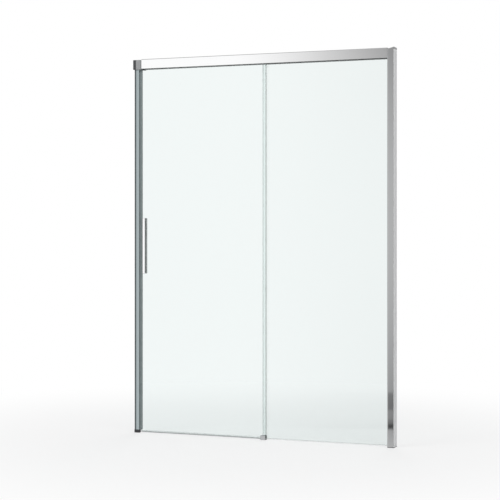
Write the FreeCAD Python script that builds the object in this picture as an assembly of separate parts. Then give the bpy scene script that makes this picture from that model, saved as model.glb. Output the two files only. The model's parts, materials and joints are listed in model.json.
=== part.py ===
import FreeCAD, Part
import math
import os

V = FreeCAD.Vector
AXIS_X = V(1, 0, 0)
AXIS_Y = V(0, 1, 0)
AXIS_Z = V(0, 0, 1)

# Overall size in millimetres: X runs across the opening, -Y is the outside, +Z is up
width = 1400.0
height = 1950.0

# Clearances, and the overrun of cutting shapes past the faces that they cut
fit_gap = 0.2
run_gap = 0.3
thread_gap = 0.05
overrun = 1.0
parallel_share = 0.001

# Panes of glass
glass_thickness = 8.0
glass_chamfer = 0.8
fixed_pane_width = 672.0
pane_overlap = 24.0
door_floor_gap = 10.0
fixed_floor_gap = 4.0

# Header rail section from the front to the back
cover_wall = 2.0
carriage_front_room = 10.5
carriage_plate = 4.0
channel_front_wall = 3.5
channel_pad = 1.0
lane_back_room = 9.5
rail_wall = 2.0
glazing_gasket = 2.5
rail_back_room = 4.5

# Header rail section from the top down
wheel_top_room = 2.5
wheel_radius = 11.0
wheel_flange_gap = 0.5
track_base = 1.0
ledge_thickness = 3.0
lift_room = 2.0
channel_height = 14.0
channel_lip_gap = 1.0

# Other sizes of the header rail and its front cover
rail_edge_radius = 1.2
cover_top_radius = 4.0
ledge_reach = 5.0
slot_gap = 3.5
pocket_depth = 20.0
pocket_bite = 16.0
snap_setback = 0.5
snap_thickness = 1.6
snap_height = 6.0
snap_hook_height = 3.2
track_width = 8.0
track_bead_radius = 2.0

# Left end of the header, which sits a little lower than the rail
bracket_drop = 3.0
socket_length = 16.0
cap_length = 31.0
cap_wall = 2.5
cap_end_wall = 5.0
end_gasket = 3.0
end_gasket_inset = 0.5
spigot_length = 20.0
spigot_wall = 3.0
tongue_length = 25.0
slot_end_gap = 7.0
rail_hole_spacing = 30.0

# Left wall channel and strike profile
strike_reach = 27.0
strike_width = 17.0
strike_depth = 17.0
strike_wall = 1.8
left_channel_wall = 1.5
left_channel_leg = 17.0
left_foot_height = 16.0
left_foot_margin = 1.0
foot_plug_height = 18.0
strike_seal_depth = 6.0
strike_seal_width = 8.0
strike_seal_radius = 2.0
seal_slot_width = 3.2
seal_neck_width = 2.6
seal_foot_width = 7.0
seal_foot_thickness = 1.8

# Right wall channel and glass profile
right_width = 35.0
right_depth = 56.0
right_wall = 2.0
right_edge_radius = 4.0
right_top_drop = 7.0
wall_line_gap = 3.0
right_pocket_depth = 16.0
right_pane_bite = 13.0
right_channel_leg = 13.0
right_foot_plate = 3.0
right_plug_inset = 3.0
top_cap_rise = 10.0
top_cap_lip = 1.0
top_cap_plug_gap = 1.0
gasket_end_gap = 0.5

# Holes for the wall screws, and the screws that lock the profiles on the channels
wall_hole_radius = 3.25
wall_hole_count = 4
wall_hole_foot_gap = 150.0
wall_hole_head_gap = 300.0
lock_screw_count = 3
lock_screw_foot_gap = 300.0
lock_screw_head_gap = 300.0

# Fasteners
small_screw_radius = 2.0
small_head_radius = 3.6
small_head_height = 2.0
screw_radius = 2.5
head_radius = 4.5
head_height = 2.75
socket_radius_share = 0.58
socket_depth_share = 0.6

# Right end bracket and the stops inside the header
bracket_length = 25.0
bracket_front_inset = 1.5
bracket_screw_shares = (0.3, 0.7)
end_plug_length = 12.0
stop_end_gap = 2.0
stop_length = 20.0
stop_height = 14.0
stop_track_gap = 1.5
buffer_length = 8.0
buffer_radius = 5.0

# Door top channel, carriages and anti-lift pads
channel_back_wall = 2.0
channel_top_wall = 2.0
channel_inset = 14.0
carriage_length = 120.0
carriage_top_margin = 6.0
carriage_corner_radius = 5.0
carriage_bolt_spacing = 30.0
bolt_slot_play = 1.0
lift_gap = 0.6
lift_pad_length = 30.0
lift_pad_width = 6.0

# Wheels, bearings and axles
wheel_pitch = 70.0
wheel_width = 8.0
wheel_edge_radius = 0.5
bearing_outer_radius = 6.5
bearing_inner_radius = 4.25
bearing_width = 5.0
ring_side_gap = 0.2
axle_radius = 2.5
axle_shoulder_radius = 3.6
axle_head_radius = 4.0
axle_head_height = 1.5
axle_tail = 1.0
clip_radius = 4.0
clip_thickness = 0.8

# Seals on the panes
seal_leg = 1.0
seal_play = 0.1
seal_wall = 1.2
seal_grip = 6.0
bottom_seal_grip = 6.0
fin_floor_gap = 0.7
closing_nose = 2.7
closing_nose_radius = 1.2
lip_gap = 0.5
seal_end_gap = 1.0
seal_guide_gap = 3.0
bottom_channel_leg = 1.2
bottom_channel_grip = 3.0

# Handle
handle_inset = 14.0
handle_width = 14.0
handle_thickness = 13.0
inner_handle_thickness = 10.0
handle_length = 290.0
handle_bottom = 832.0
handle_edge_radius = 1.5
handle_bolt_spacing = 224.0
handle_bolt_radius = 3.0
handle_bolt_head_radius = 5.0
handle_bolt_head_height = 4.0
handle_thread_depth = 8.0
handle_pad = 1.0
handle_pad_inset = 1.5
sleeve_wall = 2.0

# Floor guide
guide_lead = 4.0
guide_width = 28.0
guide_height = 23.0
guide_arm = 6.0
guide_base = 2.0
guide_liner = 1.2
guide_pad = 0.8
guide_pad_inset = 2.0
guide_corner_radius = 5.0
guide_edge_radius = 1.2
guide_liner_inset = 1.0

# Places along Y, from the front of the header rail to its back
rail_depth = (cover_wall + carriage_front_room + carriage_plate + channel_front_wall + channel_pad
              + lane_back_room + 2 * glass_thickness + 2 * glazing_gasket + 3 * rail_wall + rail_back_room)
rail_front = -rail_depth / 2
cover_inner = rail_front + cover_wall
plate_front = cover_inner + carriage_front_room
plate_back = plate_front + carriage_plate
pad_front = plate_back + channel_front_wall
door_front = pad_front + channel_pad
door_back = door_front + glass_thickness
door_middle = (door_front + door_back) / 2
web_front = door_back + lane_back_room
web_back = web_front + rail_wall
fixed_front = web_back + glazing_gasket
fixed_back = fixed_front + glass_thickness
rib_front = fixed_back + glazing_gasket
rib_back = rib_front + rail_wall
rail_back = rail_depth / 2
back_inner = rail_back - rail_wall
return_back = rail_front + cover_top_radius + cover_wall
slot_front = door_front - slot_gap
slot_back = door_back + slot_gap
right_front = -right_depth / 2
right_back = right_depth / 2
corner_room = right_edge_radius * (1 - math.cos(math.pi / 4)) - fit_gap

# Heights inside the header rail, from the top down
rail_top = height
top_inner = rail_top - rail_wall
wheel_z = top_inner - wheel_top_room - wheel_radius
track_top = wheel_z - wheel_radius - wheel_flange_gap
bead_top = track_top + track_bead_radius
ledge_top = track_top - track_base
ledge_bottom = ledge_top - ledge_thickness
channel_top = ledge_bottom - lift_room
channel_bottom = channel_top - channel_height
lip_top = channel_bottom - channel_lip_gap
rail_bottom = lip_top - rail_wall
door_top = channel_top - channel_top_wall - channel_pad
pocket_top = rail_bottom + pocket_depth
chamber_bottom = pocket_top + rail_wall
fixed_top = rail_bottom + pocket_bite
seal_top = rail_bottom - seal_end_gap
bracket_top = rail_top - bracket_drop
bracket_bottom = rail_bottom - bracket_drop
right_top = rail_top - right_top_drop

# Places along X, from the left wall to the right wall
left_wall_x = -width / 2
right_wall_x = width / 2
strike_face = left_wall_x + strike_reach
strike_nose = strike_face + strike_seal_depth
door_nose = strike_nose + run_gap
door_left = door_nose + closing_nose
right_face = right_wall_x - right_width
fixed_right = right_face + right_pane_bite
fixed_left = fixed_right - fixed_pane_width
door_right = fixed_left + pane_overlap
socket_right = left_wall_x + socket_length
rail_left = socket_right + cap_length
rail_right = right_face
cover_right = rail_right + corner_room
guide_left = fixed_left - guide_lead
guide_right = guide_left + guide_width
left_buffer_face = rail_left + stop_end_gap + stop_length + buffer_length
carriage_left_end = left_buffer_face + run_gap
carriage_right_end = door_left + door_right - carriage_left_end
bracket_left = rail_right - bracket_length
right_buffer_face = bracket_left - stop_end_gap - stop_length - buffer_length
door_travel = right_buffer_face - run_gap - carriage_right_end
carriage_middles = (carriage_left_end + carriage_length / 2, carriage_right_end - carriage_length / 2)
wheel_xs = [x + side * wheel_pitch / 2 for x in carriage_middles for side in (-1, 1)]

# Heights near the floor
guide_floor = guide_pad + guide_base
seal_base_bottom = door_floor_gap - seal_wall
bottom_seal_top = door_floor_gap + bottom_seal_grip
upright_seal_bottom = guide_height + seal_guide_gap

# Handle bolts
handle_left = door_left + handle_inset
handle_x = handle_left + handle_width / 2
handle_middle = handle_bottom + handle_length / 2
handle_bolt_heights = [handle_middle + side * handle_bolt_spacing / 2 for side in (-1, 1)]
sleeve_radius = handle_bolt_radius + fit_gap + sleeve_wall


def spread(low, high, count):
    """Evenly spaced places from low to high, both included."""
    return [low + (high - low) * step / (count - 1) for step in range(count)]


# Heights of the holes and lock screws along the wall channels
wall_hole_heights = spread(wall_hole_foot_gap, height - wall_hole_head_gap, wall_hole_count)
lock_screw_heights = spread(lock_screw_foot_gap, height - lock_screw_head_gap, lock_screw_count)


def box(x0, x1, y0, y1, z0, z1):
    return Part.makeBox(x1 - x0, y1 - y0, z1 - z0, V(x0, y0, z0))


def rod(start, axis, radius, length):
    return Part.makeCylinder(radius, length, start, axis)


def fuse(*shapes):
    return shapes[0].multiFuse(list(shapes[1:])).removeSplitter()


def cut(shape, *tools):
    return shape.cut(list(tools))


def edges_along(shape, axis, keep):
    """The straight edges along an axis whose middle point the function keep accepts."""
    found = []
    for edge in shape.Edges:
        if not isinstance(edge.Curve, Part.Line):
            continue
        ends = [vertex.Point for vertex in edge.Vertexes]
        run = ends[1] - ends[0]
        if run.cross(axis).Length < run.Length * parallel_share and keep((ends[0] + ends[1]) / 2):
            found.append(edge)
    return found


def prism(points, run):
    """A polygon drawn through points and pushed along run."""
    return Part.Face(Part.makePolygon(points + points[:1])).extrude(run)


def socket_cut(radius, depth, z0):
    corners = [V(radius * math.cos(turn), radius * math.sin(turn), z0)
               for turn in (step * math.pi / 3 for step in range(6))]
    return prism(corners, V(0, 0, depth))


def placed(shape, point, axis):
    shape.Placement = FreeCAD.Placement(point, FreeCAD.Rotation(AXIS_Z, axis))
    return shape


def screw(seat, axis, radius, length, cap_radius, cap_height):
    """A socket screw with its head resting on seat and its shank along axis."""
    shank = rod(V(0, 0, 0), AXIS_Z, radius, length)
    head = rod(V(0, 0, -cap_height), AXIS_Z, cap_radius, cap_height)
    socket = socket_cut(cap_radius * socket_radius_share, cap_height * socket_depth_share, -cap_height)
    return placed(cut(fuse(shank, head), socket), seat, axis)


def grub_screw(face, axis, radius, length):
    """A headless screw whose socket end is flush with face."""
    socket = socket_cut(radius * socket_radius_share, length * socket_depth_share, 0)
    return placed(cut(rod(V(0, 0, 0), AXIS_Z, radius, length), socket), face, axis)


def rounded_box(x0, x1, y0, y1, z0, z1, radius):
    block = box(x0, x1, y0, y1, z0, z1)
    return block.makeFillet(radius, block.Edges)


def pane(x0, x1, y0, y1, z0, z1):
    glass = box(x0, x1, y0, y1, z0, z1)
    return glass.makeChamfer(glass_chamfer, glass.Edges)


def save(name, *solids):
    shape = solids[0] if len(solids) == 1 else Part.makeCompound(list(solids))
    shape.exportStep("parts/%s.step" % name)


def bracket_block(x0, x1):
    """A length of the left end's full outer section, with its two front edges rounded."""
    block = box(x0, x1, rail_front, rail_back, bracket_bottom, bracket_top)
    return block.makeFillet(rail_edge_radius, edges_along(block, AXIS_X, lambda p: p.y < door_front))


# Header rail: top, back, web, running ledge, glazing pocket and the lip that the cover snaps behind
rail_plate_front = return_back + fit_gap
snap_front = rail_plate_front + snap_setback
snap_back = snap_front + snap_thickness
snap_bottom = top_inner - snap_height
stop_z = bead_top + stop_track_gap
stop_middle_z = stop_z + stop_height / 2
stop_spans = ((rail_left + stop_end_gap, rail_left + stop_end_gap + stop_length),
              (bracket_left - stop_end_gap - stop_length, bracket_left - stop_end_gap))
stop_xs = [(x0 + x1) / 2 for x0, x1 in stop_spans]
bracket_x = bracket_left + bracket_length / 2
web_screw_xs = stop_xs + [bracket_x]
tongue_x = rail_left + tongue_length / 2
chamber_middle_z = (chamber_bottom + top_inner) / 2


def header_rail():
    walls = fuse(
        box(rail_left, rail_right, rail_plate_front, rail_back, top_inner, rail_top),
        box(rail_left, rail_right, back_inner, rail_back, rail_bottom, top_inner),
        box(rail_left, rail_right, web_front, web_back, rail_bottom, top_inner),
        box(rail_left, rail_right, door_middle - ledge_reach, web_front, ledge_bottom, ledge_top),
        box(rail_left, rail_right, web_back, back_inner, pocket_top, chamber_bottom),
        box(rail_left, rail_right, rib_front, rib_back, rail_bottom, pocket_top),
        box(rail_left, rail_right, rib_back, back_inner, rail_bottom, lip_top),
        box(rail_left, rail_right, slot_back, web_front, rail_bottom, lip_top),
        box(rail_left, rail_right, snap_front, snap_back, snap_bottom, top_inner))
    holes = [rod(V(x, web_front - overrun, stop_middle_z), AXIS_Y, screw_radius + thread_gap,
                 rail_wall + 2 * overrun) for x in web_screw_xs]
    holes.append(rod(V(tongue_x, back_inner - overrun, chamber_middle_z), AXIS_Y,
                     screw_radius + thread_gap, rail_wall + 2 * overrun))
    return cut(walls, *holes)


def header_cover():
    hook_top = snap_bottom + snap_hook_height
    flange_top = snap_bottom - fit_gap
    hook_front = snap_back + fit_gap
    hook_back = hook_front + snap_thickness
    skin = fuse(
        box(rail_left, cover_right, rail_front, cover_inner, rail_bottom, rail_top),
        box(rail_left, cover_right, cover_inner, return_back, top_inner, rail_top),
        box(rail_right, cover_right, cover_inner, right_front + corner_room, rail_bottom, top_inner),
        box(rail_left, rail_right, cover_inner, slot_front, rail_bottom, lip_top),
        box(rail_left, rail_right, cover_inner, hook_back, flange_top - snap_thickness, flange_top),
        box(rail_left, rail_right, hook_front, hook_back, flange_top, hook_top))
    front_top = edges_along(skin, AXIS_X, lambda p: p.y < cover_inner - cover_wall / 2 and p.z > wheel_z)
    skin = skin.makeFillet(cover_top_radius, front_top)
    front_low = edges_along(skin, AXIS_X, lambda p: p.y < cover_inner - cover_wall / 2 and p.z < lip_top)
    return skin.makeFillet(rail_edge_radius, front_low)


def roller_track():
    base = box(rail_left, rail_right, door_middle - track_width / 2, door_middle + track_width / 2,
               ledge_top, track_top)
    bead = rod(V(rail_left, door_middle, track_top), AXIS_X, track_bead_radius, rail_right - rail_left)
    upper = box(rail_left, rail_right, door_middle - track_bead_radius, door_middle + track_bead_radius,
                track_top, track_top + track_bead_radius)
    return fuse(base, bead.common(upper))


os.makedirs("parts", exist_ok=True)
save("header_rail", header_rail())
save("header_cover", header_cover())
save("roller_track", roller_track())

# Left end of the header: a wall socket with a hollow spigot, the cap that slides over it, and a gasket
cap_right = rail_left - end_gasket
hollow_front = rail_front + cap_wall
hollow_back = rail_back - cap_wall
hollow_top = bracket_top - cap_wall
spigot_right = socket_right + spigot_length
spigot_x = socket_right + spigot_length / 2
spigot_middle_z = (ledge_bottom + hollow_top) / 2


def rail_wall_socket():
    spigot = box(socket_right, spigot_right, hollow_front + fit_gap, hollow_back - fit_gap,
                 ledge_bottom + fit_gap, hollow_top - fit_gap)
    inside = box(socket_right, spigot_right + overrun,
                 hollow_front + fit_gap + spigot_wall, hollow_back - fit_gap - spigot_wall,
                 ledge_bottom + fit_gap + spigot_wall, hollow_top - fit_gap - spigot_wall)
    body = fuse(bracket_block(left_wall_x, socket_right), cut(spigot, inside))
    holes = [rod(V(left_wall_x - overrun, side * rail_hole_spacing / 2, spigot_middle_z), AXIS_X,
                 wall_hole_radius, socket_length + 2 * overrun) for side in (-1, 1)]
    lock = rod(V(spigot_x, hollow_back - fit_gap - spigot_wall - overrun, spigot_middle_z), AXIS_Y,
               screw_radius + thread_gap, spigot_wall + 2 * overrun)
    return cut(body, lock, *holes)


def door_slot(x0, x1):
    """The room that the door's upper edge needs in the left end."""
    return box(x0, x1, slot_front, slot_back, bracket_bottom - overrun, channel_top)


def rail_end_cap():
    body = bracket_block(socket_right, cap_right)
    hollow = box(socket_right - overrun, cap_right - cap_end_wall, hollow_front, hollow_back,
                 ledge_bottom, hollow_top)
    slot = door_slot(door_left - slot_end_gap, cap_right + overrun)
    lock = rod(V(spigot_x, hollow_back - overrun, spigot_middle_z), AXIS_Y, screw_radius + thread_gap,
               cap_wall + 2 * overrun)
    tongue = box(cap_right, rail_left + tongue_length, web_back + fit_gap, back_inner - fit_gap,
                 chamber_bottom + fit_gap, hollow_top)
    thread = rod(V(tongue_x, back_inner + overrun, chamber_middle_z), -AXIS_Y, screw_radius + thread_gap,
                 back_inner - web_back)
    return cut(fuse(cut(body, hollow, slot, lock), tongue), thread)


def rail_end_gasket():
    plate = box(cap_right, rail_left, rail_front + end_gasket_inset, rail_back - end_gasket_inset,
                bracket_bottom + end_gasket_inset, bracket_top - end_gasket_inset)
    tongue_room = box(cap_right - overrun, rail_left + overrun, web_back, back_inner, chamber_bottom,
                      hollow_top + fit_gap)
    return cut(plate, tongue_room, door_slot(cap_right - overrun, rail_left + overrun))


def left_grub_screws():
    lock = grub_screw(V(spigot_x, rail_back, spigot_middle_z), -AXIS_Y, screw_radius,
                      cap_wall + spigot_wall)
    tongue = grub_screw(V(tongue_x, rail_back, chamber_middle_z), -AXIS_Y, screw_radius,
                        (rail_back - web_back) / 2)
    return lock, tongue


save("rail_wall_socket_left", rail_wall_socket())
save("rail_end_cap_left", rail_end_cap())
save("rail_end_gasket_left", rail_end_gasket())
save("rail_bracket_screws_left", *left_grub_screws())

# Left jamb: a wall channel, the strike profile that slides over it, its seal, foot and lock screws
strike_front = door_middle - strike_depth / 2
strike_back = door_middle + strike_depth / 2
left_leg_outer = strike_depth / 2 - strike_wall - fit_gap
left_leg_inner = left_leg_outer - left_channel_wall
left_leg_end = left_wall_x + left_channel_wall + left_channel_leg
strike_left = strike_face - strike_width
left_lock_x = (strike_left + left_leg_end) / 2


def left_wall_channel():
    solid = box(left_wall_x, left_leg_end, door_middle - left_leg_outer, door_middle + left_leg_outer,
                left_foot_height, bracket_bottom)
    hollow = box(left_wall_x + left_channel_wall, left_leg_end + overrun, door_middle - left_leg_inner,
                 door_middle + left_leg_inner, left_foot_height - overrun, bracket_bottom + overrun)
    holes = [rod(V(left_wall_x - overrun, door_middle, z), AXIS_X, wall_hole_radius,
                 left_channel_wall + 2 * overrun) for z in wall_hole_heights]
    threads = [rod(V(left_lock_x, door_middle + left_leg_inner - overrun, z), AXIS_Y,
                   small_screw_radius + thread_gap, left_channel_wall + 2 * overrun)
               for z in lock_screw_heights]
    return cut(solid, hollow, *holes, *threads)


def left_strike_profile():
    solid = box(strike_left, strike_face, strike_front, strike_back, left_foot_height, bracket_bottom)
    solid = solid.makeFillet(rail_edge_radius, edges_along(solid, AXIS_Z, lambda p: p.x > left_lock_x))
    hollow = box(strike_left - overrun, strike_face - strike_wall, strike_front + strike_wall,
                 strike_back - strike_wall, left_foot_height - overrun, bracket_bottom + overrun)
    slot = box(strike_face - strike_wall - overrun, strike_face + overrun,
               door_middle - seal_slot_width / 2, door_middle + seal_slot_width / 2,
               left_foot_height - overrun, bracket_bottom + overrun)
    holes = [rod(V(left_lock_x, strike_back + overrun, z), -AXIS_Y, small_screw_radius + fit_gap,
                 strike_wall + 2 * overrun) for z in lock_screw_heights]
    return cut(solid, hollow, slot, *holes)


def left_strike_seal():
    def strip(x0, x1, across):
        return box(x0, x1, door_middle - across / 2, door_middle + across / 2,
                   left_foot_height, bracket_bottom)

    bulb = strip(strike_face, strike_nose, strike_seal_width)
    bulb_middle = (strike_face + strike_nose) / 2
    bulb = bulb.makeFillet(strike_seal_radius, edges_along(bulb, AXIS_Z, lambda p: p.x > bulb_middle))
    inner_face = strike_face - strike_wall
    neck = strip(inner_face, strike_face, seal_neck_width)
    foot = strip(inner_face - seal_foot_thickness, inner_face, seal_foot_width)
    return fuse(bulb, neck, foot)


def left_profile_foot():
    half = strike_depth / 2 + left_foot_margin
    shoe = box(left_wall_x, strike_face + left_foot_margin, door_middle - half, door_middle + half,
               0, left_foot_height)
    plug_half = left_leg_inner - fit_gap
    plug = box(left_wall_x + left_channel_wall + fit_gap, left_leg_end,
               door_middle - plug_half, door_middle + plug_half,
               left_foot_height, left_foot_height + foot_plug_height)
    return fuse(shoe, plug)


save("left_wall_channel", left_wall_channel())
save("left_strike_profile", left_strike_profile())
save("left_strike_seal", left_strike_seal())
save("left_profile_foot", left_profile_foot())
save("left_lock_screws", *[screw(V(left_lock_x, strike_back, z), -AXIS_Y, small_screw_radius,
                                 strike_wall + fit_gap + left_channel_wall, small_head_radius,
                                 small_head_height) for z in lock_screw_heights])

# Right jamb: a wall channel, the glass profile that slides over it, its cap, foot and lock screws
right_end = right_wall_x - wall_line_gap
right_inner_x = right_face + right_wall
right_pocket_end = right_face + right_pocket_depth
right_leg_outer = right_depth / 2 - right_wall - fit_gap
right_leg_inner = right_leg_outer - right_wall
right_leg_end = right_wall_x - right_wall - right_channel_leg
right_lock_x = (right_leg_end + right_end) / 2
cap_plug_bottom = stop_middle_z + head_radius + top_cap_plug_gap
bracket_screw_ys = [plate_front + (web_front - plate_front) * share for share in bracket_screw_shares]


def right_wall_channel():
    solid = box(right_leg_end, right_wall_x, -right_leg_outer, right_leg_outer, right_foot_plate, right_top)
    hollow = box(right_leg_end - overrun, right_wall_x - right_wall, -right_leg_inner, right_leg_inner,
                 right_foot_plate - overrun, right_top + overrun)
    holes = [rod(V(right_wall_x + overrun, 0, z), -AXIS_X, wall_hole_radius, right_wall + 2 * overrun)
             for z in wall_hole_heights]
    threads = [rod(V(right_lock_x, right_leg_inner - overrun, z), AXIS_Y, small_screw_radius + thread_gap,
                   right_wall + 2 * overrun) for z in lock_screw_heights]
    return cut(solid, hollow, *holes, *threads)


def rounded_left(solid):
    """The solid with the glass profile's rounding on its upright edges at the left."""
    edges = edges_along(solid, AXIS_Z, lambda p: p.x < right_pocket_end)
    return solid.makeFillet(right_edge_radius, edges)


def right_glass_profile():
    solid = rounded_left(box(right_face, right_end, right_front, right_back, right_foot_plate, right_top))
    low = right_foot_plate - overrun
    high = right_top + overrun
    front_room = box(right_inner_x, right_end + overrun, right_front + right_wall, web_front, low, high)
    behind_pocket = box(right_pocket_end + right_wall, right_end + overrun, web_front - overrun,
                        right_back - right_wall, low, high)
    back_room = box(right_inner_x, right_end + overrun, rib_back, right_back - right_wall, low, high)
    pocket = box(right_face - overrun, right_pocket_end, web_back, rib_front, low, high)
    holes = [rod(V(right_lock_x, right_back + overrun, z), -AXIS_Y, small_screw_radius + fit_gap,
                 right_wall + 2 * overrun) for z in lock_screw_heights]
    ties = [rod(V(right_face - overrun, y, stop_middle_z), AXIS_X, screw_radius + fit_gap,
                right_wall + 2 * overrun) for y in bracket_screw_ys]
    return cut(solid, front_room, behind_pocket, back_room, pocket, *holes, *ties)


def right_profile_cap():
    def corner(x, z):
        return V(x, right_front, z)

    wedge = prism([corner(right_face, right_top),
                   corner(right_wall_x, right_top),
                   corner(right_wall_x, right_top + top_cap_rise),
                   corner(right_face, right_top + top_cap_lip)],
                  V(0, right_depth, 0))
    plug = box(right_inner_x + fit_gap, right_leg_end - fit_gap, right_front + right_wall + fit_gap,
               web_front - fit_gap, cap_plug_bottom, right_top)
    return fuse(rounded_left(wedge), plug)


def right_profile_foot():
    plate = box(right_face, right_wall_x, right_front, right_back, 0, right_foot_plate)
    plug = box(right_inner_x + fit_gap, right_leg_end - fit_gap,
               right_front + right_wall + right_plug_inset, web_front - right_plug_inset,
               right_foot_plate, right_foot_plate + foot_plug_height)
    return fuse(rounded_left(plate), plug)


def right_gasket(y0, y1):
    return box(right_face + gasket_end_gap, fixed_right - gasket_end_gap, y0, y1,
               fixed_floor_gap, fixed_top)


save("right_wall_channel", right_wall_channel())
save("right_glass_profile", right_glass_profile())
save("right_profile_cap", right_profile_cap())
save("right_profile_foot", right_profile_foot())
save("right_glazing_gasket_front", right_gasket(web_back, fixed_front))
save("right_glazing_gasket_back", right_gasket(fixed_back, rib_front))
save("right_lock_screws", *[screw(V(right_lock_x, right_back, z), -AXIS_Y, small_screw_radius,
                                  right_wall + fit_gap + right_wall, small_head_radius,
                                  small_head_height) for z in lock_screw_heights])

# Right end bracket of the header, screwed to the web and to the glass profile
bracket_front = plate_front + bracket_front_inset
tie_length = right_inner_x - bracket_x - 2 * screw_radius


def rail_end_bracket():
    block = box(bracket_left, rail_right, bracket_front, web_front, stop_z, top_inner)
    across = rod(V(bracket_x, bracket_front - overrun, stop_middle_z), AXIS_Y, screw_radius + fit_gap,
                 web_front - bracket_front + 2 * overrun)
    threads = [rod(V(right_inner_x, y, stop_middle_z), -AXIS_X, screw_radius + thread_gap, tie_length)
               for y in bracket_screw_ys]
    return cut(block, across, *threads)


def bracket_screws():
    ties = [screw(V(right_inner_x, y, stop_middle_z), -AXIS_X, screw_radius, tie_length,
                  head_radius, head_height) for y in bracket_screw_ys]
    across = screw(V(bracket_x, bracket_front, stop_middle_z), AXIS_Y, screw_radius,
                   web_back - bracket_front, head_radius, head_height)
    return ties + [across]


save("rail_end_bracket_right", rail_end_bracket())
save("rail_bracket_screws_right", *bracket_screws())

# Plugs that close the two chambers behind the web at the rail's right end
def rail_end_plug(front, low, high):
    return box(rail_right - end_plug_length, rail_right, front + fit_gap, back_inner - fit_gap,
               low, high - fit_gap)


save("rail_end_plugs_right", rail_end_plug(web_back, chamber_bottom, top_inner),
     rail_end_plug(rib_back, lip_top, pocket_top))

# Stops inside the header, each a block on the web with a rubber buffer facing the carriage
buffer_y = (plate_front + plate_back) / 2
buffer_starts = (stop_spans[0][1], stop_spans[1][0] - buffer_length)


def stop_block(x0, x1):
    block = box(x0, x1, plate_front, web_front, stop_z, stop_z + stop_height)
    hole = rod(V((x0 + x1) / 2, plate_front - overrun, stop_middle_z), AXIS_Y, screw_radius + fit_gap,
               web_front - plate_front + 2 * overrun)
    return cut(block, hole)


for side, span, start in zip(("left", "right"), stop_spans, buffer_starts):
    save("stop_block_" + side, stop_block(*span))
    save("stop_buffer_" + side,
         rod(V(start, buffer_y, stop_middle_z), AXIS_X, buffer_radius, buffer_length))
save("stop_screws", *[screw(V(x, plate_front, stop_middle_z), AXIS_Y, screw_radius, web_back - plate_front,
                            head_radius, head_height) for x in stop_xs])

# Fixed pane with its top gasket, free edge seal and bottom channel
def fixed_top_gasket():
    solid = box(fixed_left, rail_right, web_back, rib_front, rail_bottom, pocket_top - fit_gap)
    room = box(fixed_left - overrun, rail_right + overrun, fixed_front, fixed_back,
               rail_bottom - overrun, fixed_top)
    return cut(solid, room)


def fixed_edge_seal():
    clip = box(fixed_left - seal_wall, fixed_left + seal_grip, fixed_front - seal_leg, fixed_back + seal_leg,
               upright_seal_bottom, seal_top)
    room = box(fixed_left - seal_play, fixed_left + seal_grip + overrun, fixed_front - seal_play,
               fixed_back + seal_play, upright_seal_bottom - overrun, seal_top + overrun)
    return cut(clip, room)


def fixed_bottom_channel():
    solid = box(fixed_left, right_face, fixed_front - bottom_channel_leg, fixed_back + bottom_channel_leg,
                0, fixed_floor_gap + bottom_channel_grip)
    room = box(fixed_left - overrun, right_face + overrun, fixed_front - seal_play, fixed_back + seal_play,
               fixed_floor_gap - seal_play, fixed_floor_gap + bottom_channel_grip + overrun)
    return cut(solid, room)


save("fixed_glass", pane(fixed_left, fixed_right, fixed_front, fixed_back, fixed_floor_gap, fixed_top))
save("fixed_glass_top_gasket", fixed_top_gasket())
save("fixed_glass_edge_seal", fixed_edge_seal())
save("fixed_glass_bottom_channel", fixed_bottom_channel())

# Sliding door: glass with its handle holes, and the channel bonded over its top edge
channel_left = door_left + channel_inset
channel_right = door_right - channel_inset
channel_back = door_back + channel_pad + channel_back_wall
carriage_bolt_z = (channel_bottom + channel_top) / 2
carriage_bolt_xs = [x + side * carriage_bolt_spacing / 2 for x in carriage_middles for side in (-1, 1)]


def door_glass():
    glass = pane(door_left, door_right, door_front, door_back, door_floor_gap, door_top)
    holes = [rod(V(handle_x, door_front - overrun, z), AXIS_Y, sleeve_radius + fit_gap,
                 glass_thickness + 2 * overrun) for z in handle_bolt_heights]
    return cut(glass, *holes)


def door_top_pad():
    solid = box(channel_left, channel_right, pad_front, door_back + channel_pad, channel_bottom,
                door_top + channel_pad)
    room = box(channel_left - overrun, channel_right + overrun, door_front, door_back,
               channel_bottom - overrun, door_top)
    return cut(solid, room)


def door_top_channel():
    solid = box(channel_left, channel_right, plate_back, channel_back, channel_bottom, channel_top)
    room = box(channel_left - overrun, channel_right + overrun, pad_front, door_back + channel_pad,
               channel_bottom - overrun, door_top + channel_pad)
    threads = [rod(V(x, plate_back - overrun, carriage_bolt_z), AXIS_Y, screw_radius + thread_gap,
                   channel_front_wall + overrun + fit_gap) for x in carriage_bolt_xs]
    return cut(solid, room, *threads)


save("door_glass", door_glass())
save("door_top_channel_pad", door_top_pad())
save("door_top_channel", door_top_channel())

# Seals on the other three edges of the sliding door
clip_front = door_front - seal_leg
clip_back = door_back + seal_leg


def door_bottom_seal():
    solid = box(door_left, door_right, clip_front, clip_back, seal_base_bottom, bottom_seal_top)
    room = box(door_left - overrun, door_right + overrun, door_front - seal_play, door_back + seal_play,
               door_floor_gap - seal_play, bottom_seal_top + overrun)
    fin = box(door_left, door_right, door_middle - seal_wall / 2, door_middle + seal_wall / 2,
              guide_floor + fin_floor_gap, seal_base_bottom)
    return fuse(cut(solid, room), fin)


def door_closing_seal():
    low = bottom_seal_top + seal_end_gap
    high = bracket_bottom - seal_end_gap
    solid = box(door_nose, door_left + seal_grip, clip_front, clip_back, low, high)
    solid = solid.makeFillet(closing_nose_radius, edges_along(solid, AXIS_Z, lambda p: p.x < door_left))
    room = box(door_left - seal_play, door_left + seal_grip + overrun, door_front - seal_play,
               door_back + seal_play, low - overrun, high + overrun)
    return cut(solid, room)


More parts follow.
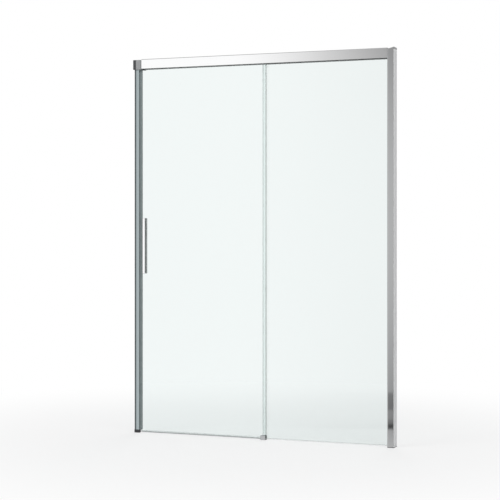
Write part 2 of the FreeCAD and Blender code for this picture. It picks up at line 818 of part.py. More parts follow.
def door_overlap_seal():
    solid = box(door_right - seal_grip, door_right + seal_wall, clip_front, clip_back,
                upright_seal_bottom, seal_top)
    room = box(door_right - seal_grip - overrun, door_right + seal_play, door_front - seal_play,
               door_back + seal_play, upright_seal_bottom - overrun, seal_top + overrun)
    lip = box(door_right, door_right + seal_wall, clip_back, fixed_front - lip_gap,
              upright_seal_bottom, seal_top)
    return fuse(cut(solid, room), lip)


save("door_bottom_seal", door_bottom_seal())
save("door_closing_seal", door_closing_seal())
save("door_overlap_seal", door_overlap_seal())

# Handle: an outer and an inner bar on pads, bolted through sleeves in the glass
handle_right = handle_left + handle_width
handle_top = handle_bottom + handle_length
outer_bar_back = door_front - handle_pad
outer_bar_front = outer_bar_back - handle_thickness
inner_bar_front = door_back + handle_pad
inner_bar_back = inner_bar_front + inner_handle_thickness
bolt_seat = inner_bar_back - handle_bolt_head_height
bolt_length = bolt_seat - outer_bar_back + handle_thread_depth


def handle_bar(y0, y1):
    return rounded_box(handle_left, handle_right, y0, y1, handle_bottom, handle_top, handle_edge_radius)


def handle_outer():
    threads = [rod(V(handle_x, outer_bar_back + overrun, z), -AXIS_Y, handle_bolt_radius + thread_gap,
                   handle_thread_depth + overrun + fit_gap) for z in handle_bolt_heights]
    return cut(handle_bar(outer_bar_front, outer_bar_back), *threads)


def handle_inner():
    tools = []
    for z in handle_bolt_heights:
        tools.append(rod(V(handle_x, inner_bar_front - overrun, z), AXIS_Y, handle_bolt_radius + fit_gap,
                         inner_handle_thickness + 2 * overrun))
        tools.append(rod(V(handle_x, bolt_seat, z), AXIS_Y, handle_bolt_head_radius + fit_gap,
                         handle_bolt_head_height + overrun))
    return cut(handle_bar(inner_bar_front, inner_bar_back), *tools)


def handle_pad_strip(y0, y1):
    strip = box(handle_left + handle_pad_inset, handle_right - handle_pad_inset, y0, y1,
                handle_bottom + handle_pad_inset, handle_top - handle_pad_inset)
    holes = [rod(V(handle_x, y0 - overrun, z), AXIS_Y, handle_bolt_radius + fit_gap,
                 handle_pad + 2 * overrun) for z in handle_bolt_heights]
    return cut(strip, *holes)


def handle_sleeve(z):
    tube = rod(V(handle_x, door_front, z), AXIS_Y, sleeve_radius, glass_thickness)
    bore = rod(V(handle_x, door_front - overrun, z), AXIS_Y, handle_bolt_radius + fit_gap,
               glass_thickness + 2 * overrun)
    return cut(tube, bore)


save("handle_outer", handle_outer())
save("handle_inner", handle_inner())
save("handle_pads", handle_pad_strip(outer_bar_back, door_front),
     handle_pad_strip(door_back, inner_bar_front))
save("handle_sleeves", *[handle_sleeve(z) for z in handle_bolt_heights])
save("handle_bolts", *[screw(V(handle_x, bolt_seat, z), -AXIS_Y, handle_bolt_radius, bolt_length,
                             handle_bolt_head_radius, handle_bolt_head_height) for z in handle_bolt_heights])

# Roller carriages: a plate with two axles, bolted through upright slots to the door's top channel
carriage_top = wheel_z + carriage_top_margin
ring_width = bearing_width + 2 * ring_side_gap
ring_front = door_middle - ring_width / 2
ring_back = door_middle + ring_width / 2


def carriage(x_middle):
    x0 = x_middle - carriage_length / 2
    x1 = x_middle + carriage_length / 2
    plate = box(x0, x1, plate_front, plate_back, channel_bottom, carriage_top)
    plate = plate.makeFillet(carriage_corner_radius,
                             edges_along(plate, AXIS_Y, lambda p: p.z > carriage_bolt_z))
    depth = carriage_plate + 2 * overrun
    tools = [rod(V(x_middle + side * wheel_pitch / 2, plate_front - overrun, wheel_z), AXIS_Y,
                 axle_radius + thread_gap, depth) for side in (-1, 1)]
    for side in (-1, 1):
        x = x_middle + side * carriage_bolt_spacing / 2
        radius = screw_radius + fit_gap
        tools.append(box(x - radius, x + radius, plate_front - overrun, plate_back + overrun,
                         carriage_bolt_z - bolt_slot_play, carriage_bolt_z + bolt_slot_play))
        for end in (-1, 1):
            tools.append(rod(V(x, plate_front - overrun, carriage_bolt_z + end * bolt_slot_play), AXIS_Y,
                             radius, depth))
    return cut(plate, *tools)


def axle(x):
    head = rod(V(x, plate_front - axle_head_height, wheel_z), AXIS_Y, axle_head_radius, axle_head_height)
    pin = rod(V(x, plate_front, wheel_z), AXIS_Y, axle_radius,
              ring_back + clip_thickness + axle_tail - plate_front)
    shoulder = rod(V(x, plate_back, wheel_z), AXIS_Y, axle_shoulder_radius, ring_front - plate_back)
    return fuse(head, pin, shoulder)


def ring(x, y0, outer, inner, length):
    return cut(rod(V(x, y0, wheel_z), AXIS_Y, outer, length),
               rod(V(x, y0 - overrun, wheel_z), AXIS_Y, inner, length + 2 * overrun))


def anti_lift_pad(x):
    return box(x - lift_pad_length / 2, x + lift_pad_length / 2, door_middle - lift_pad_width / 2,
               door_middle + lift_pad_width / 2, channel_top, ledge_bottom - lift_gap)


for side, x_middle in zip(("left", "right"), carriage_middles):
    save("carriage_" + side, carriage(x_middle))
save("carriage_bolts", *[screw(V(x, plate_front, carriage_bolt_z), AXIS_Y, screw_radius,
                               carriage_plate + channel_front_wall, head_radius, head_height)
                         for x in carriage_bolt_xs])
save("carriage_axles", *[axle(x) for x in wheel_xs])
save("bearing_inner_rings", *[ring(x, ring_front, bearing_inner_radius - thread_gap,
                                   axle_radius + thread_gap, ring_width) for x in wheel_xs])
save("axle_clips", *[ring(x, ring_back, clip_radius, axle_radius + thread_gap, clip_thickness)
                     for x in wheel_xs])
save("anti_lift_pads", *[anti_lift_pad(x) for x in carriage_middles])

# Wheels: a grooved tyre that straddles the track's bead, on a shielded bearing
groove_radius = track_bead_radius + run_gap
groove_path_radius = wheel_z - track_top


def wheel_tyre(x):
    disc = rod(V(x, door_middle - wheel_width / 2, wheel_z), AXIS_Y, wheel_radius, wheel_width)
    rims = [edge for edge in disc.Edges if isinstance(edge.Curve, Part.Circle)]
    disc = disc.makeFillet(wheel_edge_radius, rims)
    groove = Part.makeTorus(groove_path_radius, groove_radius, V(x, door_middle, wheel_z), AXIS_Y)
    bore = rod(V(x, door_middle - wheel_width / 2 - overrun, wheel_z), AXIS_Y, bearing_outer_radius,
               wheel_width + 2 * overrun)
    return cut(disc, groove, bore)


for number, x in enumerate(wheel_xs, 1):
    save("wheel_%d_tyre" % number, wheel_tyre(x))
    save("wheel_%d_bearing" % number,
         ring(x, door_middle - bearing_width / 2, bearing_outer_radius - thread_gap,
              bearing_inner_radius, bearing_width))

# Floor guide: a block with a slot for the door's lower edge, lined on both sides and stuck down by a pad
liner_front = clip_front - run_gap
liner_back = clip_back + run_gap
guide_slot_front = liner_front - guide_liner
guide_slot_back = liner_back + guide_liner
guide_front = guide_slot_front - guide_arm
guide_back = guide_slot_back + guide_arm


def floor_guide_body():
    block = box(guide_left, guide_right, guide_front, guide_back, guide_pad, guide_height)
    block = block.makeFillet(guide_corner_radius, edges_along(block, AXIS_Y, lambda p: p.z > guide_floor))
    outline = [edge for edge in block.Edges
               if abs(edge.CenterOfMass.y - door_middle) > guide_slot_back - door_middle
               and edge.CenterOfMass.z > guide_floor]
    block = block.makeFillet(guide_edge_radius, outline)
    return cut(block, box(guide_left - overrun, guide_right + overrun, guide_slot_front, guide_slot_back,
                          guide_floor, guide_height + overrun))


def guide_liner_strip(y0, y1):
    return box(guide_left + guide_liner_inset, guide_right - guide_liner_inset, y0, y1, guide_floor,
               guide_height - guide_corner_radius)


save("floor_guide_body", floor_guide_body())
save("floor_guide_liner", guide_liner_strip(guide_slot_front, liner_front),
     guide_liner_strip(liner_back, guide_slot_back))
save("floor_guide_pad", box(guide_left + guide_pad_inset, guide_right - guide_pad_inset,
                            guide_front + guide_pad_inset, guide_back - guide_pad_inset, 0, guide_pad))

# The two figures that the joints need
print("door travel %.3f mm" % door_travel)
print("wheel rolling radius %.3f mm" % (groove_path_radius - groove_radius))
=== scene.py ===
import json
import math

import bpy
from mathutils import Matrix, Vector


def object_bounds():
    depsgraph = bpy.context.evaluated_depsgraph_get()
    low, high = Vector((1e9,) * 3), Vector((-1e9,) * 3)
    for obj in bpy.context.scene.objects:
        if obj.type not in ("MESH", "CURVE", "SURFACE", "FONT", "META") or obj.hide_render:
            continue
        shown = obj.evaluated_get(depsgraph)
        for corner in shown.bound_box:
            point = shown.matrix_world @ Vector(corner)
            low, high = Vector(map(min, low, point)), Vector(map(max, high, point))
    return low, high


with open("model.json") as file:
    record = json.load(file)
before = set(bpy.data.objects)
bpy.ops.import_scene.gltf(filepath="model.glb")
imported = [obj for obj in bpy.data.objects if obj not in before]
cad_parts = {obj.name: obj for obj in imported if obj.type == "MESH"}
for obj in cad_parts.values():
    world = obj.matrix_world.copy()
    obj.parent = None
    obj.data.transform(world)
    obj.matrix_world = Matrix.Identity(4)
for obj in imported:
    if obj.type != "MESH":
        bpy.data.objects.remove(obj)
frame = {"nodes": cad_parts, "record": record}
cad_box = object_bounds()

MILLIMETRE = 0.001
WHITE = (1.0, 1.0, 1.0)
WHITE_LEVEL = 1.0

# The range that nearly all values of a noise lie in
NOISE_RANGE = (0.3, 0.7)


def edge(start, end):
    """An edge that fades from one angle to the other, both given in degrees."""
    return math.radians(start), math.radians(end)


def even(cells):
    """The same number of cells per metre along X, Y and Z."""
    return cells, cells, cells


def rgba(colour):
    """The colour with the opaque alpha that colour sockets ask for."""
    return (*colour, 1.0)


def shaded(colour, share):
    """The colour with each channel brought down to this share."""
    return tuple(channel * share for channel in colour)


class Nodes:
    """A node tree with short calls for the nodes that the finishes share."""

    def __init__(self, tree):
        self.tree = tree
        tree.nodes.clear()

    def feed(self, socket, value):
        """Links an output to the socket, or sets the socket's own value."""
        if isinstance(value, bpy.types.NodeSocket):
            self.tree.links.new(value, socket)
        else:
            socket.default_value = value

    def feed_shader(self, shader, **values):
        """Feeds sockets of the shader, named with _ for a space."""
        for name, value in values.items():
            self.feed(shader.inputs[name.replace("_", " ")], value)

    def add(self, kind, inputs=None, **settings):
        """A new node with these settings, and with its inputs fed by name or number."""
        node = self.tree.nodes.new(kind)
        for name, value in settings.items():
            setattr(node, name, value)
        for name, value in (inputs or {}).items():
            self.feed(node.inputs[name], value)
        return node

    def calculate(self, operation, first, second=0.0):
        return self.add("ShaderNodeMath", {0: first, 1: second}, operation=operation).outputs[0]

    def times(self, first, second):
        return self.calculate("MULTIPLY", first, second)

    def rest(self, share):
        """What the share leaves of 1."""
        return self.calculate("SUBTRACT", 1.0, share)

    def ramp(self, value, start, end, low=0.0, high=1.0, kind="SMOOTHSTEP"):
        """low where value is at start, high where it is at end, and held beyond both."""
        inputs = {"Value": value, "From Min": start, "From Max": end, "To Min": low, "To Max": high}
        return self.add("ShaderNodeMapRange", inputs, interpolation_type=kind).outputs["Result"]

    def between(self, share, low, high):
        """low where share is 0, high where it is 1, and in step between them."""
        return self.ramp(share, 0.0, 1.0, low, high, kind="LINEAR")

    def spread(self, noise, low=0.0, high=1.0):
        """low and high at the two ends of the noise's range, and in step between them."""
        return self.ramp(noise, *NOISE_RANGE, low, high, kind="LINEAR")

    def window(self, value, opens, closes):
        """1 between the two edges and 0 outside them, each edge a pair of values that it fades over."""
        return self.times(self.ramp(value, *opens), self.ramp(value, *closes, 1.0, 0.0))

    def place(self):
        return self.add("ShaderNodeTexCoord").outputs["Object"]

    def noise(self, cells, octaves):
        """Noise with this many cells per metre along X, Y and Z of the part."""
        mapped = self.add("ShaderNodeMapping", {"Vector": self.place(), "Scale": cells})
        inputs = {"Vector": mapped.outputs[0], "Scale": 1.0, "Detail": octaves}
        return self.add("ShaderNodeTexNoise", inputs).outputs["Fac"]

    def blend(self, share, first, second):
        """The colour first where share is 0 and second where it is 1."""
        values = {"Factor": share, "A": rgba(first), "B": rgba(second)}
        node = self.add("ShaderNodeMix", data_type="RGBA")
        for socket in node.inputs:
            if socket.enabled and socket.name in values:
                self.feed(socket, values[socket.name])
        return next(socket for socket in node.outputs if socket.enabled)

    def bump(self, height, depth, strength):
        """A normal tilted by the height, whose whole range is this many millimetres deep."""
        inputs = {"Height": height, "Distance": depth * MILLIMETRE, "Strength": strength}
        return self.add("ShaderNodeBump", inputs).outputs["Normal"]

    def mix_shaders(self, share, first, second):
        """The shader first where share is 0 and second where it is 1."""
        inputs = {0: share, 1: first.outputs[0], 2: second.outputs[0]}
        return self.add("ShaderNodeMixShader", inputs)


def new_finish(name, **values):
    """A material with one Principled shader, its even values set on the shader's own sockets."""
    material = bpy.data.materials.new(name)
    material.use_nodes = True
    nodes = Nodes(material.node_tree)
    output = nodes.add("ShaderNodeOutputMaterial")
    shader = nodes.add("ShaderNodeBsdfPrincipled")
    nodes.feed(output.inputs["Surface"], shader.outputs["BSDF"])
    nodes.feed_shader(shader, **values)
    return material, nodes, shader, output


# How the finishes' values are written: a tone is linear red, green and blue. A noise is its cells per metre
# and its octaves. A share is the darkest that a tone gets, as a part of itself. A rough pair is the
# roughness at the two ends of a noise's range. A bump is its depth in millimetres and its strength.

# Cells per metre of drawing lines that run along X or Z of an extrusion
LINES_ALONG = {"X": (0.6, 420.0, 420.0), "Z": (420.0, 420.0, 0.6)}

# Polished metal
CHROME_TONE = (0.978, 0.980, 0.983)
UPRIGHT_TONE = (0.775, 0.783, 0.790)
HANDLE_TONE = (0.970, 0.973, 0.977)
GUIDE_TONE = (0.50, 0.51, 0.52)
POLISH_ROUGH = (0.025, 0.07)
UPRIGHT_ROUGH = (0.012, 0.030)
GUIDE_ROUGH = (0.06, 0.12)
POLISH_LINE_OCTAVES = 2.0
POLISH_CLOUD = (even(5.0), 2.0)
POLISH_SHARE = 0.985


def polished(name, tone, along, rough=POLISH_ROUGH):
    """Bright metal: a mirror with faint drawing lines along its length and a slow change of tone."""
    material, nodes, shader, _ = new_finish(name, Metallic=1.0)
    lines = nodes.noise(LINES_ALONG[along], POLISH_LINE_OCTAVES)
    cloud = nodes.noise(*POLISH_CLOUD)
    nodes.feed_shader(
        shader,
        Base_Color=nodes.blend(cloud, shaded(tone, POLISH_SHARE), tone),
        Roughness=nodes.spread(lines, *rough),
    )
    return material


# Anodised metal, with the left wall channel's dark tone as painted shade
RAIL_TONE = (0.62, 0.635, 0.645)
STRIKE_TONE = (0.427, 0.490, 0.502)
# The left wall channel's near-black tone is painted shade of the gap beside the strike profile, not its own
# finish
LEFT_CHANNEL_PAINTED_SHADE_TONE = (0.13, 0.15, 0.155)
SATIN_ROUGH = (0.24, 0.36)
STRIKE_ROUGH = (0.16, 0.26)
SATIN_LINE_OCTAVES = 4.0
SATIN_SHARE = 0.93
SATIN_BUMP = (0.02, 0.4)


def satin(name, tone, along, rough=SATIN_ROUGH):
    """Anodised extrusion: matt metal with drawing lines that show in its gloss and its tone."""
    material, nodes, shader, _ = new_finish(name, Metallic=1.0)
    lines = nodes.noise(LINES_ALONG[along], SATIN_LINE_OCTAVES)
    nodes.feed_shader(
        shader,
        Base_Color=nodes.blend(nodes.spread(lines), shaded(tone, SATIN_SHARE), tone),
        Roughness=nodes.spread(lines, *rough),
        Normal=nodes.bump(lines, *SATIN_BUMP),
    )
    return material


# Lacquered metal, with the rail socket's dark tone as a painted reflection
SILVER_TONE = (0.36, 0.37, 0.375)
# The rail socket's near-black tone is a painted dark reflection of bright metal, not its own paint
SOCKET_PAINTED_REFLECTION_TONE = (0.062, 0.065, 0.067)
RIGHT_CHANNEL_TONE = (0.86, 0.87, 0.875)
LACQUER_SPECULAR = 0.5
LACQUER_ROUGH = (0.30, 0.42)
LACQUER_PEEL = (even(900.0), 3.0)
LACQUER_FLECK = (even(2600.0), 1.0)
LACQUER_FLECK_RANGE = (0.35, 0.65)
LACQUER_SHARE = 0.9
LACQUER_BUMP = (0.02, 0.5)


def lacquer(name, tone):
    """Sprayed metal: satin paint with a fine orange peel and flecks."""
    material, nodes, shader, _ = new_finish(name, Specular_IOR_Level=LACQUER_SPECULAR)
    peel = nodes.noise(*LACQUER_PEEL)
    fleck = nodes.ramp(nodes.noise(*LACQUER_FLECK), *LACQUER_FLECK_RANGE, kind="LINEAR")
    nodes.feed_shader(
        shader,
        Base_Color=nodes.blend(fleck, shaded(tone, LACQUER_SHARE), tone),
        Roughness=nodes.spread(peel, *LACQUER_ROUGH),
        Normal=nodes.bump(peel, *LACQUER_BUMP),
    )
    return material


# Moulded plastic and rubber
RUBBER_TONE = (0.035, 0.037, 0.039)
RUBBER_ROUGH = (0.55, 0.72)
WHITE_NYLON_TONE = (0.80, 0.80, 0.77)
WHITE_NYLON_ROUGH = (0.35, 0.5)
DARK_NYLON_TONE = (0.055, 0.058, 0.062)
DARK_NYLON_ROUGH = (0.38, 0.52)
MOULDED_SPECULAR = 0.45
MOULDED_GRAIN = (even(1400.0), 3.0)
MOULDED_CLOUD = (even(60.0), 3.0)
MOULDED_SHARE = 0.82
MOULDED_BUMP = (0.03, 0.6)


def moulded(name, tone, rough):
    """Moulded plastic or rubber: a fine spark-eroded grain and a slow cloud in its tone."""
    material, nodes, shader, _ = new_finish(name, Specular_IOR_Level=MOULDED_SPECULAR)
    grain = nodes.noise(*MOULDED_GRAIN)
    cloud = nodes.noise(*MOULDED_CLOUD)
    nodes.feed_shader(
        shader,
        Base_Color=nodes.blend(cloud, shaded(tone, MOULDED_SHARE), tone),
        Roughness=nodes.spread(grain, *rough),
        Normal=nodes.bump(grain, *MOULDED_BUMP),
    )
    return material


# Steel
STEEL_TONE = (0.60, 0.61, 0.62)
STEEL_ROUGH = (0.18, 0.34)
STEEL_MARKS = ((1800.0, 160.0, 1800.0), 4.0)
STEEL_SHARE = 0.86
STEEL_BUMP = (0.02, 0.4)


def brushed_steel(name):
    """Turned and pressed steel parts: fine tool marks and a soft gloss."""
    material, nodes, shader, _ = new_finish(name, Metallic=1.0)
    marks = nodes.noise(*STEEL_MARKS)
    nodes.feed_shader(
        shader,
        Base_Color=nodes.blend(marks, shaded(STEEL_TONE, STEEL_SHARE), STEEL_TONE),
        Roughness=nodes.spread(marks, *STEEL_ROUGH),
        Normal=nodes.bump(marks, *STEEL_BUMP),
    )
    return material


# Toughened clear glass: its skin's tint, the colour that its body keeps and how fast it takes the rest out,
# what its shadow keeps, the furnace rollers' slow wave, and a haze that shows only where its noise is high
GLASS_IOR = 1.52
GLASS_TINT = (0.915, 0.945, 0.940)
GLASS_BODY = (0.40, 0.75, 0.70)
GLASS_DENSITY = 6.0
GLASS_SHADOW = (0.93, 0.96, 0.955)
GLASS_WAVE = ((0.4, 0.4, 3.4), 0.0)
GLASS_WAVE_BUMP = (0.02, 1.0)
GLASS_HAZE = ((22.0, 22.0, 9.0), 4.0)
GLASS_HAZE_RANGE = (0.55, 0.8)
GLASS_ROUGH = (0.0, 0.004)


def toughened_glass(name):
    """Clear glass with a blue-green body, deepest along its edges, that lets the lamps' light through."""
    values = {"Base_Color": rgba(GLASS_TINT), "Transmission_Weight": 1.0, "IOR": GLASS_IOR}
    material, nodes, shader, output = new_finish(name, **values)
    nodes.feed_shader(
        shader,
        Roughness=nodes.ramp(nodes.noise(*GLASS_HAZE), *GLASS_HAZE_RANGE, *GLASS_ROUGH),
        Normal=nodes.bump(nodes.noise(*GLASS_WAVE), *GLASS_WAVE_BUMP),
    )
    inputs = {"Color": rgba(GLASS_BODY), "Density": GLASS_DENSITY}
    body = nodes.add("ShaderNodeVolumeAbsorption", inputs)
    nodes.feed(output.inputs["Volume"], body.outputs["Volume"])
    clear = nodes.add("ShaderNodeBsdfTransparent", {"Color": rgba(GLASS_SHADOW)})
    is_shadow = nodes.add("ShaderNodeLightPath").outputs["Is Shadow Ray"]
    surface = nodes.mix_shaders(is_shadow, shader, clear)
    nodes.feed(output.inputs["Surface"], surface.outputs[0])
    return material


# Soft seals: a cover is the share of what lies behind that the vinyl hides
VINYL_IOR = 1.42
VINYL_SPECULAR = 0.4
VINYL_CLOUD = (even(30.0), 3.0)
VINYL_ROUGH = (0.22, 0.34)
VINYL_SHARE = 0.9
GREY_VINYL_TONE = (0.245, 0.288, 0.290)
GREY_VINYL_COVER = 1.0
CLEAR_VINYL_TONE = (0.90, 0.97, 0.955)
CLEAR_VINYL_COVER = 0.10
CHANNEL_VINYL_TONE = (0.66, 0.70, 0.695)
CHANNEL_VINYL_COVER = 0.10


def soft_vinyl(name, tone, cover):
    """Soft extruded seal: a cloudy skin, milky and see-through where its cover is low."""
    values = {"Alpha": cover, "IOR": VINYL_IOR, "Specular_IOR_Level": VINYL_SPECULAR}
    material, nodes, shader, _ = new_finish(name, **values)
    cloud = nodes.noise(*VINYL_CLOUD)
    nodes.feed_shader(
        shader,
        Base_Color=nodes.blend(cloud, shaded(tone, VINYL_SHARE), tone),
        Roughness=nodes.spread(cloud, *VINYL_ROUGH),
    )
    return material


# The door's bottom seal, in two parts: a clear clip and a greyer fin whose grey is partly the seal's second
# colour and partly painted shade of the gap under the door
WIPER_CLIP_TONE = (0.90, 0.95, 0.94)
WIPER_CLIP_COVER = 0.14
WIPER_FIN_TONE_AND_SHADE = (0.70, 0.72, 0.72)
WIPER_FIN_COVER = 0.95
WIPER_FIN_TOP = 8.8 * MILLIMETRE
WIPER_FADE = 0.4 * MILLIMETRE


def wiper_vinyl(name):
    """A clear clip with a greyer, denser fin below it, drawn together in one strip; the fin's grey is
    partly its own colour and partly painted shade of the gap under the door.
    """
    values = {"IOR": VINYL_IOR, "Specular_IOR_Level": VINYL_SPECULAR}
    material, nodes, shader, _ = new_finish(name, **values)
    height = nodes.add("ShaderNodeSeparateXYZ", {0: nodes.place()}).outputs["Z"]
    fin = nodes.ramp(height, WIPER_FIN_TOP, WIPER_FIN_TOP + WIPER_FADE, 1.0, 0.0)
    nodes.feed_shader(
        shader,
        # The fin's grey stands partly for painted shade under the door
        Base_Color=nodes.blend(fin, WIPER_CLIP_TONE, WIPER_FIN_TONE_AND_SHADE),
        Alpha=nodes.between(fin, WIPER_CLIP_COVER, WIPER_FIN_COVER),
        Roughness=nodes.spread(nodes.noise(*VINYL_CLOUD), *VINYL_ROUGH),
    )
    return material


def slot_finishes():
    """The finish of each slot of the record."""
    return {
        "chrome": polished("bright_chrome", CHROME_TONE, "X"),
        "silver_cap": lacquer("silver_lacquer", SILVER_TONE),
        # The socket's lacquer is near black as a painted dark reflection
        "dark_socket": lacquer("socket_painted_dark_reflection", SOCKET_PAINTED_REFLECTION_TONE),
        "aluminium": satin("anodised_rail", RAIL_TONE, "X"),
        "glass": toughened_glass("toughened_glass"),
        "dark_rubber": moulded("dark_rubber", RUBBER_TONE, RUBBER_ROUGH),
        "grey_vinyl": soft_vinyl("grey_vinyl", GREY_VINYL_TONE, GREY_VINYL_COVER),
        "clear_vinyl": soft_vinyl("clear_vinyl", CLEAR_VINYL_TONE, CLEAR_VINYL_COVER),
        "white_nylon": moulded("white_nylon", WHITE_NYLON_TONE, WHITE_NYLON_ROUGH),
        "dark_nylon": moulded("dark_nylon", DARK_NYLON_TONE, DARK_NYLON_ROUGH),
        "steel": brushed_steel("brushed_steel"),
    }


def node_finishes():
    """The finish of each node that differs from the rest of its slot."""
    upright = polished("bright_upright", UPRIGHT_TONE, "Z", UPRIGHT_ROUGH)
    handle = polished("bright_handle", HANDLE_TONE, "Z")
    return {
        "right_glass_profile": upright,
        "right_profile_cap": upright,
        "handle_outer": handle,
        "handle_inner": handle,
        "left_strike_profile": satin("anodised_strike", STRIKE_TONE, "Z", STRIKE_ROUGH),
        # The left wall channel gets a near-black tone that paints the shade of its gap
        "left_wall_channel": satin("anodised_channel_painted_shade", LEFT_CHANNEL_PAINTED_SHADE_TONE, "Z"),
        "floor_guide_body": polished("bright_guide", GUIDE_TONE, "X", GUIDE_ROUGH),
        "right_wall_channel": lacquer("pale_channel", RIGHT_CHANNEL_TONE),
        "door_bottom_seal": wiper_vinyl("wiper_vinyl"),
        "fixed_glass_bottom_channel": soft_vinyl("channel_vinyl", CHANNEL_VINYL_TONE, CHANNEL_VINYL_COVER),
    }


def dress_nodes():
    """Gives each CAD node the finish of its slot, or its own where it has one."""
    by_slot = slot_finishes()
    by_node = node_finishes()
    for row in frame["record"]["subparts"]:
        node = row["node"]
        materials = frame["nodes"][node].data.materials
        materials.clear()
        materials.append(by_node.get(node, by_slot[row["material_slot"]]))


# The studio that polished metal shows: white, with a grey card in front, a dark flag and skirt behind, grey
# sides, a soft ceiling and a dim ground. Each is a shade with soft edges, and its depth is the share of the
# light that it takes. A band of the card is its lower edge, its upper edge and the depth that it adds.
CARD_NEAR_EDGE = edge(-21.8, -13.3)
CARD_FAR_EDGE = edge(2.0, 14.0)
CARD_MIDDLE = math.radians(0.2)
CARD_DEPTH = 0.485
CARD_DEPTH_MOST = 0.74
CARD_BOW = 11.8
BANDS_FOOT = edge(-8.44, -8.38)
BANDS_HEAD = edge(-6.97, -6.88)
CARD_BANDS = (
    (BANDS_FOOT, BANDS_HEAD, 0.045),
    (edge(-7.66, -7.60), BANDS_HEAD, 0.12),
    (BANDS_FOOT, edge(-8.08, -8.00), 0.08),
    (BANDS_FOOT, edge(-8.26, -8.18), 0.145),
)
CARD_FOOT_RISE = edge(-8.50, -8.40)
CARD_FOOT_FADE = edge(-9.2, -8.5)
CARD_FOOT_DEPTHS = (0.52, 0.61)
FLAG_LEFT_EDGE = edge(8.2, 19.0)
FLAG_RIGHT_EDGE = edge(34.0, 46.0)
FLAG_RISE = edge(9.0, 14.0)
FLAG_DEPTH = 0.95
SKIRT_LEFT_EDGE = edge(-42.0, -32.0)
SKIRT_RIGHT_EDGE = edge(-9.0, -4.0)
SKIRT_FOOT = edge(-16.0, -11.0)
SKIRT_HEAD = edge(-3.0, -1.0)
SKIRT_DEPTH = 0.94
SIDE_NEAR_EDGE = edge(38.0, 54.0)
SIDE_FAR_EDGE = edge(130.0, 155.0)
SIDE_DEPTH = 0.68
CEILING_RISE = edge(10.0, 40.0)
CEILING_DEPTH = 0.45
GROUND_RISE = edge(-50.0, -24.0)
GROUND_DEPTH = 0.62
AMBIENT = 0.45


def card_shade(nodes, front, rise):
    """The grey card: deeper away from its middle, with bands near its foot and a paler foot under them."""
    off_middle = nodes.calculate("SUBTRACT", rise, CARD_MIDDLE)
    bowed = nodes.times(nodes.times(off_middle, off_middle), CARD_BOW)
    depth = nodes.calculate("MINIMUM", nodes.calculate("ADD", bowed, CARD_DEPTH), CARD_DEPTH_MOST)
    for foot, head, band_depth in CARD_BANDS:
        band = nodes.times(nodes.window(rise, foot, head), band_depth)
        depth = nodes.calculate("ADD", depth, band)
    foot_depth = nodes.ramp(rise, *CARD_FOOT_FADE, *CARD_FOOT_DEPTHS)
    depth = nodes.ramp(rise, *CARD_FOOT_RISE, foot_depth, depth)
    return nodes.times(nodes.window(front, CARD_NEAR_EDGE, CARD_FAR_EDGE), depth)


def studio_level(nodes):
    """How bright the studio is by direction, for reflections."""
    direction = nodes.add("ShaderNodeTexCoord").outputs["Generated"]
    x, y, z = nodes.add("ShaderNodeSeparateXYZ", {0: direction}).outputs
    front = nodes.calculate("ARCTAN2", x, nodes.times(y, -1.0))
    back = nodes.calculate("ARCTAN2", x, y)
    turn = nodes.calculate("ABSOLUTE", front)
    rise = nodes.calculate("ARCSINE", z)
    flag_depth = nodes.ramp(nodes.calculate("ABSOLUTE", rise), *FLAG_RISE, FLAG_DEPTH, 0.0)
    skirt_depth = nodes.times(nodes.window(rise, SKIRT_FOOT, SKIRT_HEAD), SKIRT_DEPTH)
    shades = (
        card_shade(nodes, front, rise),
        nodes.times(nodes.window(back, FLAG_LEFT_EDGE, FLAG_RIGHT_EDGE), flag_depth),
        nodes.times(nodes.window(back, SKIRT_LEFT_EDGE, SKIRT_RIGHT_EDGE), skirt_depth),
        nodes.times(nodes.window(turn, SIDE_NEAR_EDGE, SIDE_FAR_EDGE), SIDE_DEPTH),
        nodes.ramp(rise, *CEILING_RISE, 0.0, CEILING_DEPTH),
        nodes.ramp(rise, *GROUND_RISE, GROUND_DEPTH, 0.0),
    )
    level = WHITE_LEVEL
    for shade in shades:
        level = nodes.times(level, nodes.rest(shade))
    return level


def background_rays(nodes):
    """Marks rays that a mirror has turned, and rays straight from the camera or from it through glass."""
    path = nodes.add("ShaderNodeLightPath").outputs
    turned = nodes.calculate("MINIMUM", path["Glossy Depth"], 1.0)
    through = nodes.times(path["Is Transmission Ray"], nodes.rest(turned))
    is_seen = nodes.calculate("MAXIMUM", path["Is Camera Ray"], through)
    turned_through = nodes.calculate("SUBTRACT", path["Is Transmission Ray"], through)
    is_glossy = nodes.calculate("MAXIMUM", path["Is Glossy Ray"], turned_through)
    # A ray that glass lets through carries the glossy mark too, so being seen comes first
    return nodes.times(is_glossy, nodes.rest(is_seen)), is_seen


def make_world():
    """White behind the object and through its glass, the studio in its metal, plain ambient light."""
    world = bpy.data.worlds.new("studio")
    world.use_nodes = True
    bpy.context.scene.world = world
    nodes = Nodes(world.node_tree)
    output = nodes.add("ShaderNodeOutputWorld")
    is_mirrored, is_seen = background_rays(nodes)
    lit = nodes.between(is_mirrored, AMBIENT, studio_level(nodes))
    strength = nodes.between(is_seen, lit, WHITE_LEVEL)
    background = nodes.add("ShaderNodeBackground", {"Color": rgba(WHITE), "Strength": strength})
    nodes.feed(output.inputs["Surface"], background.outputs[0])


# Floor, in metres, with its two tones and the share of white that it shows near the object
FLOOR_RADIUS = 7.0
FLOOR_DROP = 0.0003
FLOOR_SIDES = 96
FLOOR_FADE = (0.7, 2.6)
FLOOR_LIFT_SHARE = 0.66
FLOOR_CLOUD = (even(3.0), 3.0)
FLOOR_TONES = ((0.86, 0.865, 0.87), (0.88, 0.885, 0.89))


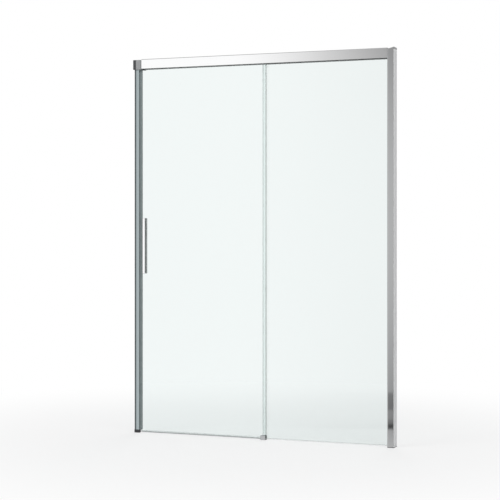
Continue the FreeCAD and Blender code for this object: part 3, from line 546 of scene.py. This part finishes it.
def floor_material():
    """Pale floor that takes the object's shadow, fades into the white round it and shows in no mirror."""
    material = bpy.data.materials.new("pale_floor")
    material.use_nodes = True
    nodes = Nodes(material.node_tree)
    output = nodes.add("ShaderNodeOutputMaterial")
    cloud = nodes.noise(*FLOOR_CLOUD)
    paint = nodes.add("ShaderNodeBsdfDiffuse", {"Color": nodes.blend(cloud, *FLOOR_TONES)})
    white = nodes.add("ShaderNodeEmission", {"Color": rgba(WHITE), "Strength": WHITE_LEVEL})
    clear = nodes.add("ShaderNodeBsdfTransparent")
    far = nodes.add("ShaderNodeVectorMath", {0: nodes.place()}, operation="LENGTH").outputs["Value"]
    fade = nodes.ramp(far, *FLOOR_FADE, FLOOR_LIFT_SHARE, 1.0)
    is_mirrored, is_seen = background_rays(nodes)
    lifted = nodes.mix_shaders(nodes.times(fade, is_seen), paint, white)
    surface = nodes.mix_shaders(is_mirrored, lifted, clear)
    nodes.feed(output.inputs["Surface"], surface.outputs[0])
    return material


def make_floor():
    """A round floor under the object, a hair below its feet so that no two faces lie in one plane."""
    turns = [2 * math.pi * i / FLOOR_SIDES for i in range(FLOOR_SIDES)]
    level = cad_box[0].z - FLOOR_DROP
    rim = [(FLOOR_RADIUS * math.cos(t), FLOOR_RADIUS * math.sin(t), level) for t in turns]
    mesh = bpy.data.meshes.new("floor")
    mesh.from_pydata(rim, [], [range(FLOOR_SIDES)])
    mesh.materials.append(floor_material())
    floor = bpy.data.objects.new("floor", mesh)
    bpy.context.scene.collection.objects.link(floor)


# Lamps: place in metres, power in watts and side of the soft box in metres
LAMPS = {
    "key": ((-2.6, -4.2, 4.4), 95.0, 2.6),
    "fill": ((3.4, -3.0, 3.6), 55.0, 2.2),
    "rear": ((-0.6, 4.4, 4.2), 85.0, 2.6),
}


def make_lamps():
    """Soft boxes that all point at the middle of the object, and that no mirror or glass edge shows."""
    middle = (cad_box[0] + cad_box[1]) / 2
    for name, (place, power, side) in LAMPS.items():
        light = bpy.data.lights.new(name, "AREA")
        light.energy = power
        light.size = side
        lamp = bpy.data.objects.new(name, light)
        lamp.location = place
        lamp.rotation_euler = (middle - lamp.location).to_track_quat("-Z", "Y").to_euler()
        lamp.visible_glossy = False
        lamp.visible_transmission = False
        bpy.context.scene.collection.objects.link(lamp)


# The photograph's camera: its square frame, focal length and horizon in pixels, its place in metres, and a
# sensor in millimetres
IMAGE_SIDE = 500
FOCAL_PIXELS = 1360.7
HORIZON_ROW = 226.65
CAMERA_PLACE = (2.3794, -6.4679, 1.0772)
CAMERA_YAW = math.radians(20.659)
SENSOR_WIDTH = 36.0


def make_camera():
    """The photograph's level camera, shifted down to frame the object as it does."""
    data = bpy.data.cameras.new("photo_camera")
    data.sensor_width = SENSOR_WIDTH
    data.lens = SENSOR_WIDTH * FOCAL_PIXELS / IMAGE_SIDE
    data.shift_y = (HORIZON_ROW - IMAGE_SIDE / 2) / IMAGE_SIDE
    camera = bpy.data.objects.new("photo_camera", data)
    camera.location = CAMERA_PLACE
    camera.rotation_euler = (math.pi / 2, 0.0, CAMERA_YAW)
    bpy.context.scene.collection.objects.link(camera)
    bpy.context.scene.camera = camera


bpy.context.scene.view_settings.view_transform = "Standard"
dress_nodes()
make_world()
make_floor()
make_lamps()
make_camera()
